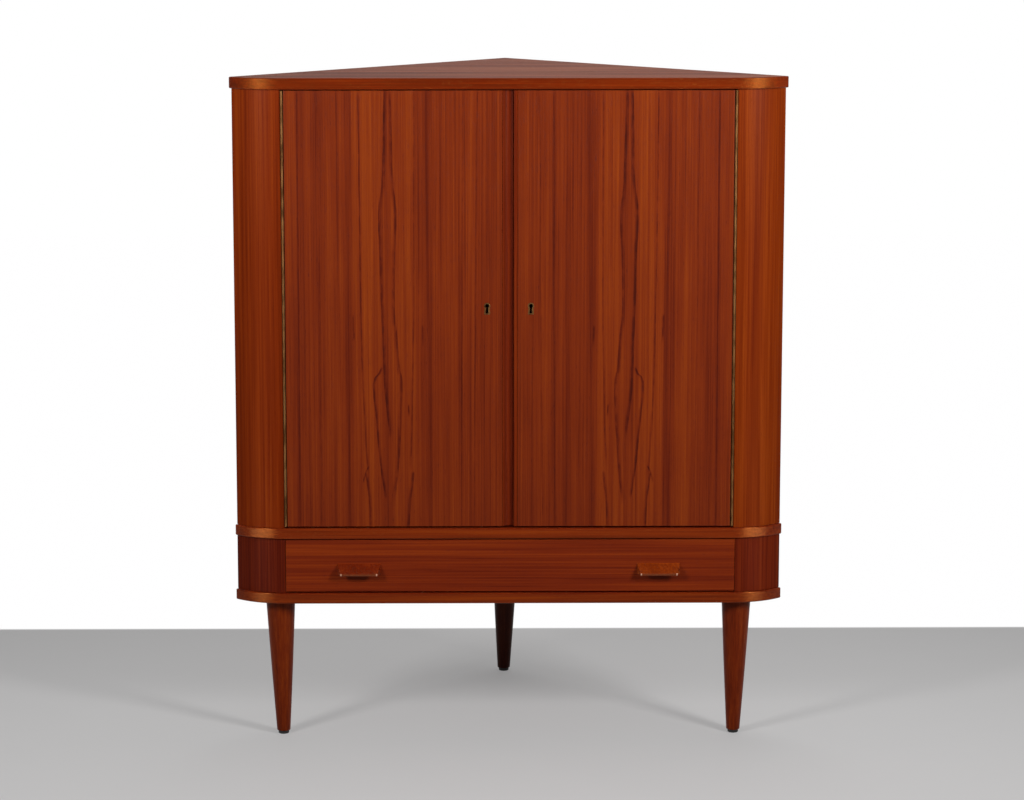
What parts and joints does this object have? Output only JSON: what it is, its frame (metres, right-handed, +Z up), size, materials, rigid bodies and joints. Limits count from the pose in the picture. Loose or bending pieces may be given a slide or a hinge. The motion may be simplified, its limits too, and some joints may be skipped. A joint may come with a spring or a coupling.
{
  "type": "corner bar cabinet",
  "caption": "Teak corner bar cabinet with rounded ends, book-matched doors on piano hinges, a full-width drawer with sculpted pulls, and tapered turned legs.",
  "frame": {"origin": "centre of the bounding box in plan, on the floor plane under the glides", "axes": "+Z up; the front faces -Y, the wall corner is toward +Y, and +X is to the right of someone facing the front"},
  "size_m": [0.972, 0.5366, 1.18],
  "materials": {
    "teak_veneer": "satin oiled teak veneer, book-matched on the doors",
    "teak": "satin oiled solid teak",
    "teak_dark": "matte stained veneer",
    "beech": "plain sanded",
    "plywood": "plain sanded",
    "brass": "aged brass",
    "steel": "plain",
    "nylon": "dark moulded",
    "glass": "clear"
  },
  "bodies": {
    "carcass": {"left_side_panel": "teak_veneer", "right_side_panel": "teak_veneer", "left_lower_panel": "teak_veneer", "right_lower_panel": "teak_veneer", "top_board": "teak", "deck_board": "teak", "base_board": "teak", "left_front_leg": "teak", "right_front_leg": "teak", "rear_leg": "teak", "door_stop": "teak", "wooden_shelf": "teak", "left_back_panel": "teak_dark", "right_back_panel": "teak_dark", "left_lower_back": "teak_dark", "right_lower_back": "teak_dark", "rear_corner_post": "beech", "lower_corner_post": "beech", "left_shelf_batten": "beech", "right_shelf_batten": "beech", "left_runner": "beech", "right_runner": "beech", "center_runner": "beech", "left_hinge_frame_leaf": "brass", "right_hinge_frame_leaf": "brass", "left_hinge_pin": "brass", "right_hinge_pin": "brass", "left_shelf_pin": "brass", "right_shelf_pin": "brass", "rear_shelf_pin": "brass", "left_front_glide": "nylon", "right_front_glide": "nylon", "rear_glide": "nylon", "glass_shelf": "glass"},
    "left_door": {"left_door": "teak_veneer", "left_door_lipping": "teak", "left_hinge_door_leaf": "brass", "left_escutcheon": "brass", "left_lock_case": "steel", "left_door_keeper": "brass", "left_upper_rod_guide": "steel", "left_lower_rod_guide": "steel"},
    "right_door": {"right_door": "teak_veneer", "right_door_lipping": "teak", "right_hinge_door_leaf": "brass", "right_escutcheon": "brass", "right_lock_case": "steel"},
    "drawer": {"drawer_front": "teak_veneer", "drawer_left_side": "beech", "drawer_right_side": "beech", "drawer_left_tail": "beech", "drawer_right_tail": "beech", "drawer_back": "beech", "drawer_bottom": "plywood", "drawer_guide": "beech", "left_pull": "teak", "right_pull": "teak"},
    "left_upper_rod": {"left_upper_rod": "steel"},
    "left_lower_rod": {"left_lower_rod": "steel"},
    "right_bolt": {"right_lock_bolt": "brass"}
  },
  "joints": [
    {"name": "left_door_hinge", "type": "hinge", "parent": "carcass", "child": "left_door", "pos_m": [-0.3936, -0.25085, 0.7735], "axis": [0, 0, -1], "range_deg": [0, 145]},
    {"name": "right_door_hinge", "type": "hinge", "parent": "carcass", "child": "right_door", "pos_m": [0.3936, -0.25085, 0.7735], "axis": [0, 0, 1], "range_deg": [0, 145]},
    {"name": "drawer_slide", "type": "slide", "parent": "carcass", "child": "drawer", "axis": [0, -1, 0], "range_m": [0, 0.26]},
    {"name": "left_upper_rod_slide", "type": "slide", "parent": "left_door", "child": "left_upper_rod", "axis": [0, 0, 1], "range_m": [0, 0.008]},
    {"name": "left_lower_rod_slide", "type": "slide", "parent": "left_door", "child": "left_lower_rod", "axis": [0, 0, -1], "range_m": [0, 0.008]},
    {"name": "right_bolt_slide", "type": "slide", "parent": "right_door", "child": "right_bolt", "axis": [-1, 0, 0], "range_m": [0, 0.014]}
  ],
  "couplings": [
    {"joint": "left_lower_rod_slide", "follows": "left_upper_rod_slide", "ratio": 1}
  ]
}
